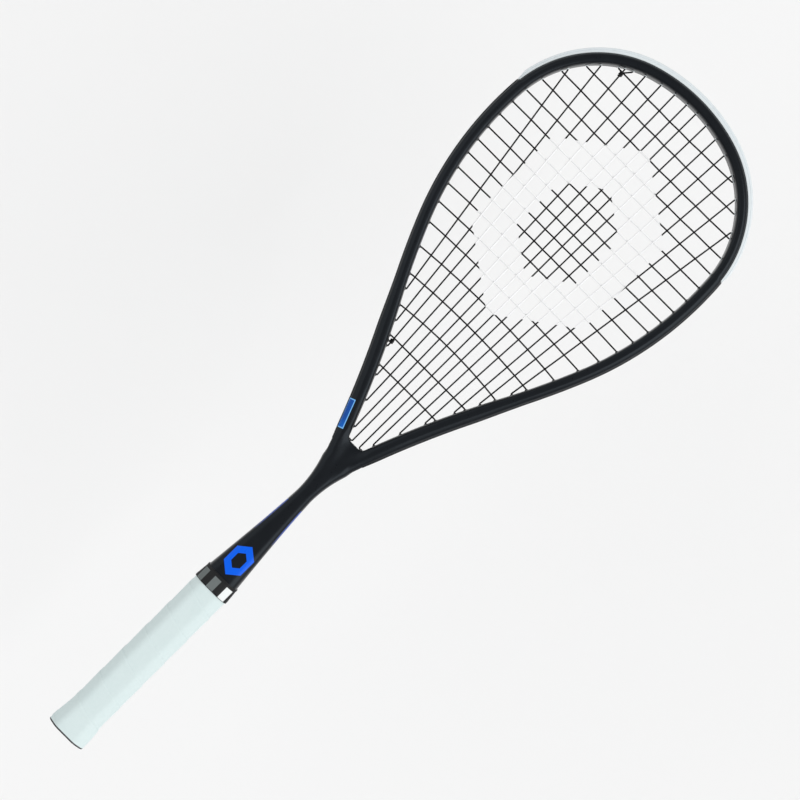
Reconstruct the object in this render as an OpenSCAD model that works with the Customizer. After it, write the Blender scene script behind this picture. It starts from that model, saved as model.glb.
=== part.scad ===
// Squash racket with a teardrop head.
// X runs along the handle from the butt end to the head tip, Y crosses the head,
// and Z is normal to the string bed. The origin is the middle of the butt end face.

/* [Head opening] */
// where the inside of the frame meets the long axis at the tip
opening_tip_x = 672.5; // [670:0.5:673]
// inside radius of the rounded tip
tip_radius = 134; // [133:1:138]
// degrees that the tip arc turns on each side
tip_sweep = 17; // [16.5:0.1:17.1]
// inside radius of the shoulders
shoulder_radius = 86; // [85.8:0.1:88]
// degrees that each shoulder turns
shoulder_sweep = 69; // [68.5:0.1:69]
// inside radius of the long sides
side_radius = 263; // [260:1:271]
// degrees that each side turns
side_sweep = 26.4; // [26:0.1:26.5]
// radius of the easing between a side and its leg
easing_radius = 659; // [620:1:700]
// degrees that the easing turns
easing_sweep = 5.6; // [5:0.1:5.7]
// radius of the hollow curve of each leg
leg_radius = 818; // [780:1:850]
// where the flat bottom of the opening lies
opening_bottom_x = 309.9; // [309:0.1:311]

/* [Frame tube] */
// half the depth of the tube, across the string bed
tube_half_depth = 9.5; // [9:0.1:10.5]
// width of the tube along the sides of the head
side_width = 9.6; // [9:0.1:10.5]
// width of the tube under the bumper guard
bumper_width = 8.55; // [8:0.05:9.2]
// width of the tube in the legs
leg_width = 11.3; // [11:0.1:12]
// depth of the string groove in the outer face
groove_depth = 1.6; // [1.3:0.1:2]
// thickness of the laminate
wall = 1.4; // [1:0.1:2]

/* [Shaft] */
// half width of the shaft at its slimmest
neck_half_width = 6.95; // [6.5:0.05:7.2]
// where the shaft is slimmest
neck_x = 256; // [255:1:262]
// half width of the shaft where it leaves the collar
shaft_root_half_width = 14.15; // [13.5:0.05:14.5]
// half depth of the shaft
shaft_half_depth = 8.8; // [8.2:0.1:9.5]

/* [Strings] */
// string diameter
string_diameter = 1.3; // [1.05:0.01:1.35]
// bore of a grommet barrel
barrel_bore = 1.5; // [1.4:0.05:1.7]
// outside diameter of a grommet barrel
barrel_diameter = 2.7; // [2.5:0.1:3]
// height of a string over or under the one that it crosses, from the middle plane
weave = 0.67; // [0.62:0.01:0.8]

/* [Handle] */
// length of the grip from the butt cap's rim to the collar
grip_end_x = 157; // [150:1:165]
// half width of the grip under the collar
grip_half_width = 15.2; // [14.8:0.1:15.8]
// half depth of the grip under the collar
grip_half_depth = 13.9; // [13.5:0.1:14.5]
// thickness of the wrapped grip
grip_thickness = 1.6; // [1.3:0.1:2]
// half width of the butt cap's rim
butt_half_width = 17.1; // [16.4:0.1:19]
// half depth of the butt cap's rim
butt_half_depth = 15.4; // [15:0.1:17]

/* [Hidden] */

// the inside of the hoop on the +Y side, from the tip: radius and turn of each arc,
// a negative radius for a hollow curve
arcs = [[tip_radius, tip_sweep], [shoulder_radius, shoulder_sweep],
        [side_radius, side_sweep], [easing_radius, easing_sweep], [-leg_radius, 8.4]];

// where each main string passes the frame: y at the tip end, x at the throat end,
// from the middle main outwards
mains = [[5, 310], [16.9, 319.8], [29.5, 340.2], [42.9, 359.4], [57.8, 380.8],
         [72.8, 399.1], [88.5, 421.5]];
// where each cross string passes the frame, from the tip, and how far its middle bows
crosses = [[655.9, -1.1], [639.5, -0.8], [623.4, -0.9], [608.3, -1.2], [594, -0.2],
           [580.3, -0.3], [566.6, 0], [553.5, 0], [541.2, -0.4], [528.8, 0], [515.4, 1],
           [501.3, 1.8], [486.5, 1.9], [470.4, 2], [452.2, 3.2], [432.2, 2.7],
           [409.9, 2.8], [388.4, 0.1], [366.6, 0.2]];
// tie-off holes: x at the throat on the left, y at the tip on the left
throat_tie_x = 384.4;
tip_tie_y = 52;

// strings lie in lanes beside each other in the groove
main_lane = 0.7;
cross_lane = -0.7;
tail_lane = 2.05;

bumper_end_x = 593.6;     // the bumper guard covers the tube beyond this
strip_end_x = 306;        // the side strips end here at the throat
groove_end_x = 305;
groove_half = 3.4;        // half width of the groove
strip_base = 0.8;         // thickness of the strips' base
strip_rise = 0.65;        // how far the strips stand out from the tube
fit = 0.05;               // clearance between moulded parts and the tube
bend_in = 1.0;            // where a string bends, measured inwards from the tube
middle_inset = 1.3;       // the middle mains enter at the opening's bottom, this far inside
middle_bend_in = 2.15;     // where the middle mains bend, beyond that inset
string_sides = 6;

guard_half_depth = 6;     // half width of the bumper guard
strip_half_depth = 5;     // half width of a side strip
strip_lip = 0.1;          // gap that a strip or guard leaves in the groove
cap_rim = 1.3;            // the butt cap's rim, which covers the end of the grip
cap_floor = 2.95;         // thickness of the butt cap's end wall
cap_end_x = 24;           // end of the butt cap's skirt under the grip
plug_diameter = 18;
plug_depth = 1;
stem_diameter = 6;
collar_start_x = grip_end_x - 1.4;
collar_end_x = grip_end_x + 11.6;
collar_waist_x = grip_end_x + 6;    // where the collar leaves the grip for the shaft

function unit(v) = v / norm(v);
function dir(a) = [cos(a), sin(a)];
function ease(t) = let (u = max(0, min(1, t))) u * u * (3 - 2 * u);
function flip(list) = [for (i = [len(list) - 1:-1:0]) list[i]];

// start angle and centre of each arc of the hoop
arc_frames = [for (i = 0, a = 0, p = [opening_tip_x, 0]; i < len(arcs);
                   p = p + arcs[i][0] * (dir(a + sign(arcs[i][0]) * arcs[i][1]) - dir(a)),
                   a = a + sign(arcs[i][0]) * arcs[i][1], i = i + 1)
                  [a, p - arcs[i][0] * dir(a), p]];

// a station is a point on the inside edge and the angle of its outward normal: [x, y, angle]
function station(i, turned) =
    let (a = arc_frames[i][0] + sign(arcs[i][0]) * turned, p = arc_frames[i][1] + arcs[i][0] * dir(a))
    [p[0], p[1], a];
function arc_at(x, i = 0) = i < len(arcs) - 1 && x < arc_frames[i + 1][2][0] ? arc_at(x, i + 1) : i;
function station_at_x(x) =
    let (i = arc_at(x), a = acos((x - arc_frames[i][1][0]) / arcs[i][0]))
    [x, arc_frames[i][1][1] + arcs[i][0] * sin(a), a];
function station_at_y(y) =
    let (i = y < arc_frames[1][2][1] ? 0 : 1, a = asin((y - arc_frames[i][1][1]) / arcs[i][0]))
    [arc_frames[i][1][0] + arcs[i][0] * cos(a), y, a];
function mirrored(s) = [s[0], -s[1], -s[2]];
function on_side(s, side) = side > 0 ? s : mirrored(s);
// a point outwards of a station's edge by o, at height z
function out(s, o, z) = [s[0] + o * cos(s[2]), s[1] + o * sin(s[2]), z];

function tube_width(s) = s[0] > bumper_end_x ? bumper_width + 0.5 * pow(cos(s[2]), 4)
    : side_width + (leg_width - side_width) * ease((432 - s[0]) / 42);
function tube_depth(s) = tube_half_depth - 1.7 * ease((338 - s[0]) / 46);
function groove_at(s) = groove_depth * (s[0] < groove_end_x ? 0.01 : 1);
function floor_at(s) = tube_width(s) - groove_at(s);
// distance of a string's middle from the inside edge, where it lies in the groove; it leaves
// the end of a side strip without dropping to the slimmer tube under the guard
function lane_out(s) =
    (s[0] > bumper_end_x && s[0] < bumper_end_x + 1 ? side_width - groove_depth : floor_at(s))
    + strip_base + string_diameter / 2 + 2 * fit;

// ---------- lofts ----------

// joins rings of equal length; the end caps fan out from their middle points
function ring_middle(r) = [for (k = [0:2]) let (n = len(r)) [for (p = r) p[k]] * [for (p = r) 1] / n];

module loft(rings) {
    n = len(rings[0]);
    m = len(rings);
    points = concat([for (r = rings) each r], [ring_middle(rings[0]), ring_middle(rings[m - 1])]);
    polyhedron(points, concat(
        side_faces(n, m),
        [for (j = [0:n - 1]) [(j + 1) % n, j, n * m]],
        [for (j = [0:n - 1]) [n * (m - 1) + j, n * (m - 1) + (j + 1) % n, n * m + 1]]));
}

// a loft whose section is a folded strip: its first half is one face, the rest the other
module channel_loft(rings) {
    n = len(rings[0]);
    m = len(rings);
    caps = [for (i = [0:n / 2 - 2]) [i, i + 1, n - 2 - i, n - 1 - i]];
    polyhedron([for (r = rings) each r], concat(
        side_faces(n, m),
        [for (c = caps, t = [[c[2], c[1], c[0]], [c[3], c[2], c[0]]]) t],
        [for (c = caps, t = [[c[0], c[1], c[2]], [c[0], c[2], c[3]]])
            [for (v = t) v + n * (m - 1)]]));
}

function side_faces(n, m) =
    [for (i = [0:m - 2], j = [0:n - 1], t = [[0, 1, 2], [0, 2, 3]])
        let (q = [i * n + j, i * n + (j + 1) % n, (i + 1) * n + (j + 1) % n, (i + 1) * n + j])
        [q[t[0]], q[t[1]], q[t[2]]]];

// ---------- frame ----------

// stations of the whole hoop, from the leg on -Y over the tip to the leg on +Y
half_hoop = concat(
    [for (t = [0.2:0.2:0.8]) station(0, t * tip_sweep)],
    [for (t = [0:12]) station(1, t / 13 * shoulder_sweep)],
    [station_at_x(bumper_end_x + 0.3), station_at_x(bumper_end_x - 0.3)],
    [for (t = [1:7]) station(2, t / 8 * side_sweep)],
    [for (t = [0, 0.5]) station(3, t * easing_sweep)],
    [for (x = [432, 418, 404, 390, 365, 340, 324, 312, strip_end_x, groove_end_x + 0.5,
               groove_end_x - 0.5, 297, 291]) station_at_x(x)]);
hoop = concat(flip([for (s = half_hoop) mirrored(s)]), [station(0, 0)], half_hoop);

// half of the tube's section as [out, z], from the groove over the front to the inside
function tube_half(w, h, g) = [[w - g, groove_half - 0.05], [w, groove_half], [w, 0.55 * h],
    [0.84 * w, 0.86 * h], [0.58 * w, h], [0.3 * w, 0.97 * h], [0.07 * w, 0.7 * h], [0, 0.31 * h]];
function both_halves(half) = concat(half, flip([for (p = half) [p[0], -p[1]]]));
function tube_ring(s) =
    [for (p = both_halves(tube_half(tube_width(s), tube_depth(s), groove_at(s)))) out(s, p[0], p[1])];
// the hollow inside the tube keeps clear of the groove
function hollow_ring(s) =
    let (w = tube_width(s) - groove_depth - wall, h = tube_depth(s) - wall, a = wall)
    [for (p = both_halves([[w, 0.5 * h], [0.6 * w + 0.4 * a, 0.98 * h], [0.25 * w + 0.75 * a, 0.9 * h],
                           [a, 0.4 * h]])) out(s, p[0], p[1])];

// half width of the shaft, with a slim neck and a flare at each end
shaft_root_x = grip_end_x + 12;     // the shaft comes out of the collar here
flare_end_x = 288;        // past this the shaft widens at one slope
function throat_flare(x) = 0.0052 * pow(x - neck_x, 2);
function shaft_half_width(x) =
    x < neck_x ? neck_half_width + (shaft_root_half_width - neck_half_width)
                 * pow((neck_x - x) / (neck_x - shaft_root_x), 1.25)
    : x < flare_end_x ? neck_half_width + throat_flare(x)
    : neck_half_width + throat_flare(flare_end_x) + 0.17 * (x - flare_end_x);
function shaft_depth(x) =
    x < 200 ? shaft_half_depth + 3.4 * ease((200 - x) / 36)
    : shaft_half_depth - 0.8 * ease((x - 262) / 50);
// one quarter of the shaft's section as fractions of its half width and half depth
shaft_quarter = [[1, 0.32], [0.9, 0.72], [0.7, 0.93], [0.42, 1]];
shaft_section = concat(shaft_quarter, flip([for (p = shaft_quarter) [-p[0], p[1]]]),
                       [for (p = shaft_quarter) [-p[0], -p[1]]],
                       flip([for (p = shaft_quarter) [p[0], -p[1]]]));
function shaft_ring(x, a, b) = [for (p = shaft_section) [x, -p[0] * a, p[1] * b]];
// the shaft runs down inside the handle, where it is slimmer: [x, half width, half depth]
shaft_core = [[10, 9, 8.2], [grip_end_x - 21, 9, 8.2], [grip_end_x + 1, 12, 10.6]];
core_end_x = shaft_core[2][0];
shaft_end_x = 318;        // the shaft has merged into the legs here
foot_end_x = grip_end_x + 26;       // the handle and the collar are cut out round the shaft up to here
shaft_visible = concat([for (x = [collar_waist_x:10:253]) x],
                       [262, 270, 278, flare_end_x, 303, shaft_end_x]);

module shaft_body(grow = 0, last_x = shaft_end_x)
    loft(concat([for (c = shaft_core)
                     shaft_ring(c[0] - (c == shaft_core[0] ? grow : 0), c[1] + grow, c[2] + grow)],
                [for (x = shaft_visible) if (x <= last_x)
                    shaft_ring(x, shaft_half_width(x) + grow, shaft_depth(x) + grow)]));

// the two hollows of the hairpin lie side by side in the shaft
module shaft_hollow(side)
    loft([for (x = [20, core_end_x - 23, core_end_x - 1, core_end_x + 12,
                    190, 215, 250, 270, 286, 300])
        let (core = x < core_end_x,
             a = (core ? lookup(x, [for (c = shaft_core) [c[0], c[1]]]) : shaft_half_width(x)) - wall,
             b = (core ? lookup(x, [for (c = shaft_core) [c[0], c[2]]]) : shaft_depth(x)) - wall - 0.2,
             web = wall / 2)
        [for (p = [[1, 0.3], [0.75, 0.85], [0.3, 1], [0, 0.9],
                   [0, -0.9], [0.3, -1], [0.75, -0.85], [1, -0.3]])
            [x, side * (web + p[0] * (a - web)), side * -p[1] * b]]]);

module opening_bottom() {
    depth = 4 * tube_half_depth;
    translate([0, 0, -depth / 2]) linear_extrude(depth) hull() {
        for (side = [-1, 1]) translate([opening_bottom_x + 5, side * 3.6]) circle(r = 5, $fn = 48);
        polygon([[331, 14.9], [331, -14.9], [330, 0]]);
    }
}

// ---------- string holes ----------

// [station, z, inset] of every barrel on one side of the head, with the inset where it isn't nought
function inset(h) = h[2] == undef ? 0 : h[2];
function main_tip_holes(side) = [for (m = mains) [on_side(station_at_y(m[0]), side), main_lane]];
function main_throat_holes(side) = [for (m = mains)
    [on_side(station_at_x(m[1]), side), main_lane, m == mains[0] ? middle_inset : 0]];
function cross_holes(side) = [for (c = crosses) [on_side(station_at_x(c[0]), side), cross_lane]];
throat_tie = [station_at_x(throat_tie_x), tail_lane];
tip_tie = [station_at_y(tip_tie_y), cross_lane];
function all_holes(side) = concat(main_tip_holes(side), main_throat_holes(side), cross_holes(side),
                                  side > 0 ? [throat_tie, tip_tie] : []);
function under_bumper(h) = h[0][0] > bumper_end_x;

// a cylinder along a hole, from and to distances outwards of the inside edge
module along(h, from, to, d)
    translate(out(h[0], 0, h[1])) rotate([0, 0, h[0][2]]) rotate([0, 90, 0])
        translate([0, 0, from]) cylinder(d = d, h = to - from, $fn = 24);

module frame()
    color([0.045, 0.047, 0.052]) difference() {
        union() {
            loft([for (s = hoop) tube_ring(s)]);
            shaft_body();
        }
        loft([for (s = hoop) hollow_ring(s)]);
        for (side = [-1, 1]) shaft_hollow(side);
        opening_bottom();
        for (side = [-1, 1], h = all_holes(side))
            along(h, -2 - inset(h), tube_width(h[0]) + 1, barrel_diameter + 0.1);
    }

// ---------- bumper guard and grommet strips ----------

module barrels(holes)
    for (h = holes) along(h, -0.4 - inset(h), floor_at(h[0]) + strip_base / 2, barrel_diameter);

module barrel_bores(holes)
    for (h = holes) along(h, -2 - inset(h), floor_at(h[0]) + strip_base + 0.5, barrel_bore);

// the guard stands out most at the tip and thins out at its two ends
function guard_rise(s) = 3.4 + 1.1 * pow(cos(s[2]), 2) - 1.6 * ease((602 - s[0]) / 8);
function guard_ring(s) =
    let (w = tube_width(s) + fit / 2, f = floor_at(s) + fit, r = guard_rise(s), d = guard_half_depth,
         g = groove_half - strip_lip,
         frame_side = [[w, d], [w, d - 1.1], [w, g], [f, g]],
         outside = [[w + r - 1.1, d], [w + r, d - 1.3], [w + r - 0.4, g - 0.4], [f + strip_base, g - 0.5]],
         section = concat(both_halves(frame_side), flip(both_halves(outside))))
    [for (p = section) out(s, p[0], p[1])];
half_guard = [for (s = half_hoop) if (s[0] > bumper_end_x) s];
guard = concat(flip([for (s = half_guard) mirrored(s)]), [station(0, 0)], half_guard);

module bumper_guard() {
    holes = [for (side = [-1, 1], h = all_holes(side)) if (under_bumper(h)) h];
    color([0.86, 0.89, 0.9]) difference() {
        union() {
            channel_loft([for (s = guard) guard_ring(s)]);
            barrels(holes);
        }
        barrel_bores(holes);
    }
}

// a strip thins out over its last 12 mm at the throat
function strip_ring(s) =
    let (w = tube_width(s) + fit / 2, f = floor_at(s) + fit, d = strip_half_depth,
         g = groove_half - strip_lip, r = strip_rise * (0.4 + 0.6 * ease((s[0] - strip_end_x) / 12)),
         frame_side = [[w, d], [w, g], [f, g]],
         outside = [[w + r, d - 0.2], [w + r, g - 0.5], [f + strip_base, g - 0.5]],
         section = concat(both_halves(frame_side), flip(both_halves(outside))))
    [for (p = section) out(s, p[0], p[1])];
half_strip = [for (s = half_hoop) if (s[0] < bumper_end_x && s[0] >= strip_end_x) s];

module grommet_strip(side) {
    holes = [for (h = all_holes(side)) if (!under_bumper(h)) h];
    color([0.07, 0.07, 0.075]) difference() {
        union() {
            channel_loft(side > 0 ? [for (s = half_strip) strip_ring(s)]
                                  : flip([for (s = half_strip) strip_ring(mirrored(s))]));
            barrels(holes);
        }
        barrel_bores(holes);
    }
}

module grommet_strip_left() grommet_strip(1);
module grommet_strip_right() grommet_strip(-1);

// ---------- string ----------
// One string, from its knot at the throat through the mains and back up through the crosses.
// A route point is [point, up], where up keeps the sweep from twisting.

up = [0, 0, 1];
function plain(points) = [for (p = points) [p, up]];

// corner in the groove, corner inside the head
function pass_out(h) = out(h[0], lane_out(h[0]), h[1]);
function pass_in(h) = out(h[0], -inset(h) - (inset(h) > 0 ? middle_bend_in : bend_in), h[1]);

function column_side(c) = c < 7 ? 1 : -1;
function column_main(c) = c < 7 ? 6 - c : c - 7;
function tip_hole(c) = main_tip_holes(column_side(c))[column_main(c)];
function throat_hole(c) = main_throat_holes(column_side(c))[column_main(c)];

// y of a main string at x, and x of a cross string at y
function main_y(c, x) =
    let (a = pass_in(throat_hole(c)), b = pass_in(tip_hole(c)))
    a[1] + (b[1] - a[1]) * (x - a[0]) / (b[0] - a[0]);
function cross_x(j, y) =
    let (end = pass_in(cross_holes(1)[j])) end[0] + crosses[j][1] * (1 - pow(y / end[1], 2));
function crossing(c, j) =
    let (x1 = cross_x(j, main_y(c, crosses[j][0])), y = main_y(c, x1)) [cross_x(j, y), y];
function over(c, j) = (c + j) % 2 == 0 ? weave : -weave;
function crosses_main(c, j) =
    let (x = crosses[j][0]) x > pass_in(throat_hole(c))[0] + 2 && x < pass_in(tip_hole(c))[0] - 2;

// a short step from the bend at a towards b
function step(a, b) = a + unit(b - a) * 1.2;

// one main from throat to tip, and one cross from +Y to -Y
function main_run(c) =
    let (a = throat_hole(c), b = tip_hole(c), p = pass_in(a), q = pass_in(b),
         inner = [for (j = [len(crosses) - 1:-1:0]) if (crosses_main(c, j))
                     let (k = crossing(c, j)) [k[0], k[1], over(c, j)]])
    concat([pass_out(a), p, step(p, inner[0])], inner, [step(q, inner[len(inner) - 1]), q, pass_out(b)]);
function cross_run(j) =
    let (a = cross_holes(1)[j], b = cross_holes(-1)[j], p = pass_in(a), q = pass_in(b),
         inner = [for (c = [0:13]) if (crosses_main(c, j))
                     let (k = crossing(c, j)) [k[0], k[1], -over(c, j)]])
    concat([pass_out(a), p, step(p, inner[0])], inner, [step(q, inner[len(inner) - 1]), q, pass_out(b)]);

// points in the groove between two holes on the same side, in a lane
function groove_run(x1, x2, side, lane, steps = 1) =
    [for (k = [1:steps]) let (s = on_side(station_at_x(x1 + (x2 - x1) * k / (steps + 1)), side))
        out(s, lane_out(s), lane)];

// a knot of two turns round a main, from the point where the tail comes in
function knot(centre, along_main, towards, z_sign) =
    [for (k = [0:16])
        let (a = 90 + k * 45, radial = cos(a) * towards + z_sign * sin(a) * up)
        [centre + along_main * k * 0.165 + radial * (string_diameter + 0.06), radial]];
function knot_end(k) =
    let (p = k[len(k) - 1][0], q = k[len(k) - 2][0], t = [p[0] - q[0], p[1] - q[1], 0])
    [[p + unit(t) * 1.5, up]];

tied_column = 2;          // the main that both ends are tied to
knot_gap = 3.4;           // from that main's bend to its knot
knot_drop = 0.05;
throat_knot =
    let (a = pass_in(throat_hole(tied_column)), c = crossing(tied_column, 17),
         m = unit([c[0] - a[0], c[1] - a[1], 0]), side = [-m[1], m[0], 0])
    knot(a + m * knot_gap - knot_drop * up, m, side, 1);
tip_knot =
    let (a = pass_in(tip_hole(tied_column)), c = crossing(tied_column, 1),
         m = unit([c[0] - a[0], c[1] - a[1], 0]), side = [-m[1], m[0], 0])
    knot(a + m * knot_gap - 2 * knot_drop * up, m, side, -1);

// the turn round the tip end from one main to the next on the same side
function tip_turn(from, to, side) =
    plain(groove_run(station_at_y(mains[from][0])[0], station_at_y(mains[to][0])[0], side, main_lane, 3));

route = concat(
    flip(concat(throat_knot, knot_end(throat_knot))),
    plain([pass_in(throat_tie), pass_out(throat_tie)]),
    plain(groove_run(throat_tie_x, mains[6][1], 1, tail_lane, 3)),
    plain(main_run(0)), tip_turn(6, 5, 1),
    plain(flip(main_run(1))), plain(groove_run(mains[5][1], mains[4][1], 1, main_lane)),
    plain(main_run(2)), tip_turn(4, 3, 1),
    plain(flip(main_run(3))), plain(groove_run(mains[3][1], mains[2][1], 1, main_lane)),
    plain(main_run(4)),
    plain(flip(main_run(5))), plain(groove_run(mains[1][1], mains[0][1], 1, main_lane)),
    plain(main_run(6)),
    plain(flip(main_run(7))), plain(groove_run(mains[0][1], mains[1][1], -1, main_lane)),
    plain(main_run(8)),
    plain(flip(main_run(9))), plain(groove_run(mains[2][1], mains[3][1], -1, main_lane)),
    plain(main_run(10)), tip_turn(3, 4, -1),
    plain(flip(main_run(11))), plain(groove_run(mains[4][1], mains[5][1], -1, main_lane)),
    plain(main_run(12)), tip_turn(5, 6, -1),
    plain(flip(main_run(13))),
    plain(groove_run(mains[6][1], crosses[18][0] + 12, -1, tail_lane, 3)),
    [for (j = [18:-1:0]) each plain(concat(
        j % 2 == 0 ? flip(cross_run(j)) : cross_run(j),
        j > 0 ? groove_run(crosses[j][0], crosses[j - 1][0], j % 2 == 0 ? 1 : -1, cross_lane) : []))],
    plain([pass_out(tip_tie), pass_in(tip_tie)]),
    tip_knot, knot_end(tip_knot));

// one ring of the sweep, widened in a bend so that the string keeps its thickness
function string_ring(i) =
    let (p = route[i][0], n = len(route),
         before = i > 0 ? unit(p - route[i - 1][0]) : unit(route[1][0] - p),
         after = i < n - 1 ? unit(route[i + 1][0] - p) : before,
         t = unit(before + after), widen = min(1.5, 1 / max(0.5, before * t)),
         e1 = unit(cross(t, route[i][1])), e2 = cross(e1, t))
    [for (k = [0:string_sides - 1])
        let (a = 360 * k / string_sides) p + string_diameter / 2 * (cos(a) * e1 * widen + sin(a) * e2)];

module string()
    color([0.03, 0.03, 0.035]) loft([for (i = [0:len(route) - 1]) string_ring(i)]);

// ---------- handle ----------

// an octagon with wide front and back faces, as [half width, half depth]
function handle_octagon(a, b) =
    [[a, 0.52 * b], [0.56 * a, b], [-0.56 * a, b], [-a, 0.52 * b],
     [-a, -0.52 * b], [-0.56 * a, -b], [0.56 * a, -b], [a, -0.52 * b]];
function octagon_ring(x, a, b) = [for (p = handle_octagon(a, b)) [x, -p[0], p[1]]];

// stations of the grip's outside: [x, half width, half depth]
grip_profile = [[cap_rim + fit, butt_half_width, butt_half_depth], [6, butt_half_width, butt_half_depth],
                [11, butt_half_width - 0.7, butt_half_depth - 0.7],
                [26, grip_half_width + 0.15, grip_half_depth + 0.15],
                [grip_end_x, grip_half_width, grip_half_depth]];

module octagon_body(profile, shrink = 0)
    loft([for (g = profile) octagon_ring(g[0], g[1] - shrink, g[2] - shrink)]);

handle_skin = grip_thickness + fit;
pallet_half_width = grip_half_width - handle_skin;
pallet_half_depth = grip_half_depth - handle_skin;
pallet_profile = [for (x = [cap_floor + fit, grip_end_x + 2]) [x, pallet_half_width, pallet_half_depth]];

// the moulded foam handle is two shells closed round the shaft
module handle_shell(front)
    color([0.16, 0.16, 0.17]) difference() {
        octagon_body(pallet_profile);
        shaft_body(2 * fit, foot_end_x);
        translate([-5, -25, front ? -50 + fit / 2 : -fit / 2]) cube([200, 50, 50]);
        staples(fit);
    }

module handle_front() handle_shell(true);
module handle_back() handle_shell(false);

// the cap slides over the foam handle, under the grip, and flares out to its rim
module butt_cap()
    color([0.05, 0.05, 0.055]) difference() {
        union() {
            octagon_body([[0, butt_half_width - 0.3, butt_half_depth - 0.3],
                          [0.3, butt_half_width, butt_half_depth],
                          [cap_rim, butt_half_width, butt_half_depth]]);
            octagon_body(concat(
                [for (g = [[cap_rim - 0.3, butt_half_width, butt_half_depth],
                           grip_profile[1], grip_profile[2]])
                    [g[0], g[1] - handle_skin, g[2] - handle_skin]],
                [[cap_end_x, pallet_half_width + 0.12, pallet_half_depth + 0.12]]));
        }
        octagon_body([for (x = [cap_floor, cap_end_x + 1])
            [x, pallet_half_width + fit / 2, pallet_half_depth + fit / 2]]);
        translate([plug_depth, 0, 0]) rotate([0, -90, 0])
            cylinder(d = plug_diameter + 2 * fit, h = 5, $fn = 64);
        rotate([0, 90, 0]) cylinder(d = stem_diameter + 2 * fit, h = 5, $fn = 32);
        staples(fit);
    }

// a plain round plug closes the middle of the cap, with a stem through the cap's end wall
module butt_plug()
    color([0.1, 0.1, 0.105]) rotate([0, 90, 0]) {
        cylinder(d = plug_diameter, h = plug_depth - fit, $fn = 64);
        cylinder(d = stem_diameter, h = cap_floor - fit, $fn = 32);
    }

module box(from, to, grow)
    translate(from - grow * [1, 1, 1]) cube(to - from + 2 * grow * [1, 1, 1]);

staple_x = 18;
staple_crown = 9;         // length of a staple's back
staple_wire = 0.7;
staple_leg = 4;
// a staple on the front and one on the back, each a crown and two legs driven inwards
module staples(grow = 0) {
    half = staple_wire / 2;
    reach = staple_crown / 2;
    top = pallet_half_depth + 0.4;
    for (turn = [0, 180]) translate([staple_x, 0, 0]) rotate([turn, 0, 0]) {
        box([-half, -reach, top - half], [half, reach, top + half], grow);
        for (y = [-reach, reach - staple_wire])
            box([-half, y, top - staple_leg], [half, y + staple_wire, top], grow);
    }
}

module butt_staples()
    color([0.72, 0.73, 0.75]) staples();

// the grip strap, wound to one thickness all along the handle
module grip()
    color([0.85, 0.9, 0.9]) difference() {
        octagon_body(grip_profile);
        octagon_body([for (k = [0:len(grip_profile) - 1])
            let (g = grip_profile[k], past = k == 0 ? -1 : g[0] == grip_end_x ? 1 : 0)
            [g[0] + past, g[1] - grip_thickness, g[2] - grip_thickness]]);
        staples(fit);
    }

// the rubber collar stretches over the end of the grip and the foot of the shaft
collar_profile = [[collar_start_x, grip_half_width + 0.7, grip_half_depth + 0.7],
                  [grip_end_x + 0.6, grip_half_width + 0.8, grip_half_depth + 0.8],
                  [collar_waist_x, grip_half_width + 0.3, grip_half_depth + 0.2],
                  [collar_end_x, shaft_half_width(collar_end_x) + 0.8, shaft_depth(collar_end_x) + 0.85]];
module collar()
    color([0.06, 0.06, 0.065]) difference() {
        octagon_body(collar_profile);
        octagon_body([[collar_start_x - 1, grip_half_width + fit, grip_half_depth + fit],
                      [grip_end_x + fit, grip_half_width + fit, grip_half_depth + fit],
                      [grip_end_x + 2 * fit, grip_half_width - 0.15, grip_half_depth - 0.2],
                      [collar_waist_x, grip_half_width - 0.35, grip_half_depth - 0.7],
                      [collar_end_x + 0.5, shaft_half_width(collar_end_x) + 0.1,
                       shaft_depth(collar_end_x) + fit]]);
        shaft_body(fit, foot_end_x);
    }

frame();
bumper_guard();
grommet_strip_left();
grommet_strip_right();
string();
handle_front();
handle_back();
butt_cap();
butt_plug();
butt_staples();
grip();
collar();
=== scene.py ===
"""Looks of the squash racket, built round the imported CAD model. Lengths below are in millimetres."""
import math

import bmesh
import bpy
import numpy as np
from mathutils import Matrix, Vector


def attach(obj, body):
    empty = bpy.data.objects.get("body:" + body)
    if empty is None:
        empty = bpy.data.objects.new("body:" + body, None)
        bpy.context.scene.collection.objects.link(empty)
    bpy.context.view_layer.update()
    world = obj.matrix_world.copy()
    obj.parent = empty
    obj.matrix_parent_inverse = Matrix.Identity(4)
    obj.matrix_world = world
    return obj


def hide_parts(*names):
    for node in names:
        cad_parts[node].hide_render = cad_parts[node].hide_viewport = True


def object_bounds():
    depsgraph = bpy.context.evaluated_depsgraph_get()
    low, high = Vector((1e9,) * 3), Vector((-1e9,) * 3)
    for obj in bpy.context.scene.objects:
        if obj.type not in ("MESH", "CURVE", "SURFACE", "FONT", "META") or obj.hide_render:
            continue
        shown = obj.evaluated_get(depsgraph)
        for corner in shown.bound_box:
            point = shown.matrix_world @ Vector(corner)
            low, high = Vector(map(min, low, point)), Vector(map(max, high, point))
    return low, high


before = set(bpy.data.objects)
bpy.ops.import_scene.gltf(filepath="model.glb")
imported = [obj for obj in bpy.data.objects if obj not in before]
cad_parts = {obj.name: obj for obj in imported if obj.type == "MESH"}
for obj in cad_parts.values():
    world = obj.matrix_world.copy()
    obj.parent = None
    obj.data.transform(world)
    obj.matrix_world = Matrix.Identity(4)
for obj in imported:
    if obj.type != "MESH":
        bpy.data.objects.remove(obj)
cad_box = [list(corner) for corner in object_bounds()]
MM = 0.001

# ---------- the hoop, as in the CAD source ----------

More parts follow.
